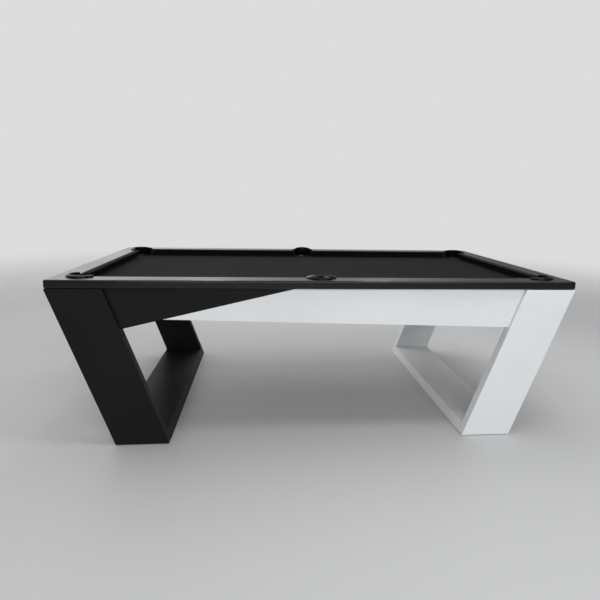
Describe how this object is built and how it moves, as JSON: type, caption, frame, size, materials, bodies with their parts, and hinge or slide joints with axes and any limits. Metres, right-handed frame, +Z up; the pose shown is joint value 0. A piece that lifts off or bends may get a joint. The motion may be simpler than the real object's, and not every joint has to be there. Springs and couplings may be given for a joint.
{
  "type": "pool table",
  "caption": "Slate-bed pool table with black cloth, drop pockets and black lacquered rails, on two slanted open end frames, one black and one white, with aprons split on a diagonal.",
  "frame": {"origin": "on the floor under the middle of the table", "axes": "+X to the right along the table's length, +Y from the front long side to the rear one, +Z up; the black frame is at -X and the white one at +X"},
  "size_m": [2.5, 1.383, 0.82],
  "materials": {
    "rail_lacquer": "black satin lacquer on solid rails",
    "black_paint": "black satin paint",
    "white_paint": "white satin paint",
    "cloth": "black worsted billiard cloth",
    "cushion_cloth": "cushion rubber under black cloth",
    "slate": "ground slate",
    "pocket_rubber": "glossy moulded black rubber",
    "facing_rubber": "matte rubber",
    "basket_plastic": "matte moulded plastic",
    "frame_timber": "sawn softwood",
    "zinc_steel": "zinc-plated steel",
    "foot_plastic": "hard nylon"
  },
  "bodies": {
    "root": {"basket_front_left": "basket_plastic", "basket_front_middle": "basket_plastic", "basket_front_right": "basket_plastic", "basket_rear_left": "basket_plastic", "basket_rear_middle": "basket_plastic", "basket_rear_right": "basket_plastic", "basket_screws": "zinc_steel", "bed_cloth": "cloth", "black_apron_front": "black_paint", "black_apron_rear": "black_paint", "corner_plates": "zinc_steel", "cross_beams": "frame_timber", "cushion_end_left": "cushion_cloth", "cushion_end_right": "cushion_cloth", "cushion_front_left": "cushion_cloth", "cushion_front_right": "cushion_cloth", "cushion_rear_left": "cushion_cloth", "cushion_rear_right": "cushion_cloth", "end_apron_left": "black_paint", "end_apron_right": "white_paint", "feather_strips": "rail_lacquer", "foot_beam_left": "black_paint", "foot_beam_right": "white_paint", "frame_bolts": "zinc_steel", "frame_brackets": "zinc_steel", "levelling_inserts": "zinc_steel", "long_beams": "frame_timber", "pocket_facings": "facing_rubber", "pocket_trim_front_left": "pocket_rubber", "pocket_trim_front_middle": "pocket_rubber", "pocket_trim_front_right": "pocket_rubber", "pocket_trim_rear_left": "pocket_rubber", "pocket_trim_rear_middle": "pocket_rubber", "pocket_trim_rear_right": "pocket_rubber", "post_front_left": "black_paint", "post_front_right": "white_paint", "post_rear_left": "black_paint", "post_rear_right": "white_paint", "rail_bolts": "zinc_steel", "rail_end_left": "rail_lacquer", "rail_end_right": "rail_lacquer", "rail_front_left": "rail_lacquer", "rail_front_right": "rail_lacquer", "rail_rear_left": "rail_lacquer", "rail_rear_right": "rail_lacquer", "slate_left": "slate", "slate_middle": "slate", "slate_right": "slate", "slate_screws": "zinc_steel", "top_beams": "frame_timber", "white_apron_front": "white_paint", "white_apron_rear": "white_paint"},
    "foot_pad_front_left": {"foot_pad_front_left": "foot_plastic"},
    "foot_stem_front_left": {"foot_stem_front_left": "zinc_steel"},
    "foot_pad_front_right": {"foot_pad_front_right": "foot_plastic"},
    "foot_stem_front_right": {"foot_stem_front_right": "zinc_steel"},
    "foot_pad_rear_left": {"foot_pad_rear_left": "foot_plastic"},
    "foot_stem_rear_left": {"foot_stem_rear_left": "zinc_steel"},
    "foot_pad_rear_right": {"foot_pad_rear_right": "foot_plastic"},
    "foot_stem_rear_right": {"foot_stem_rear_right": "zinc_steel"}
  },
  "joints": [
    {"name": "foot_lift_front_left", "type": "slide", "parent": "root", "child": "foot_pad_front_left", "axis": [0, 0, -1], "range_m": [0, 0.0105]},
    {"name": "foot_screw_front_left", "type": "hinge", "parent": "foot_pad_front_left", "child": "foot_stem_front_left", "pos_m": [-0.85407, -0.5615, 0.0123], "axis": [0, 0, -1], "range_deg": [0, 2160]},
    {"name": "foot_lift_front_right", "type": "slide", "parent": "root", "child": "foot_pad_front_right", "axis": [0, 0, -1], "range_m": [0, 0.0105]},
    {"name": "foot_screw_front_right", "type": "hinge", "parent": "foot_pad_front_right", "child": "foot_stem_front_right", "pos_m": [0.85407, -0.5615, 0.0123], "axis": [0, 0, -1], "range_deg": [0, 2160]},
    {"name": "foot_lift_rear_left", "type": "slide", "parent": "root", "child": "foot_pad_rear_left", "axis": [0, 0, -1], "range_m": [0, 0.0105]},
    {"name": "foot_screw_rear_left", "type": "hinge", "parent": "foot_pad_rear_left", "child": "foot_stem_rear_left", "pos_m": [-0.85407, 0.5615, 0.0123], "axis": [0, 0, -1], "range_deg": [0, 2160]},
    {"name": "foot_lift_rear_right", "type": "slide", "parent": "root", "child": "foot_pad_rear_right", "axis": [0, 0, -1], "range_m": [0, 0.0105]},
    {"name": "foot_screw_rear_right", "type": "hinge", "parent": "foot_pad_rear_right", "child": "foot_stem_rear_right", "pos_m": [0.85407, 0.5615, 0.0123], "axis": [0, 0, -1], "range_deg": [0, 2160]}
  ],
  "couplings": [
    {"joint": "foot_screw_front_left", "follows": "foot_lift_front_left", "rad_per_m": 3590.4},
    {"joint": "foot_screw_front_right", "follows": "foot_lift_front_right", "rad_per_m": 3590.4},
    {"joint": "foot_screw_rear_left", "follows": "foot_lift_rear_left", "rad_per_m": 3590.4},
    {"joint": "foot_screw_rear_right", "follows": "foot_lift_rear_right", "rad_per_m": 3590.4}
  ]
}
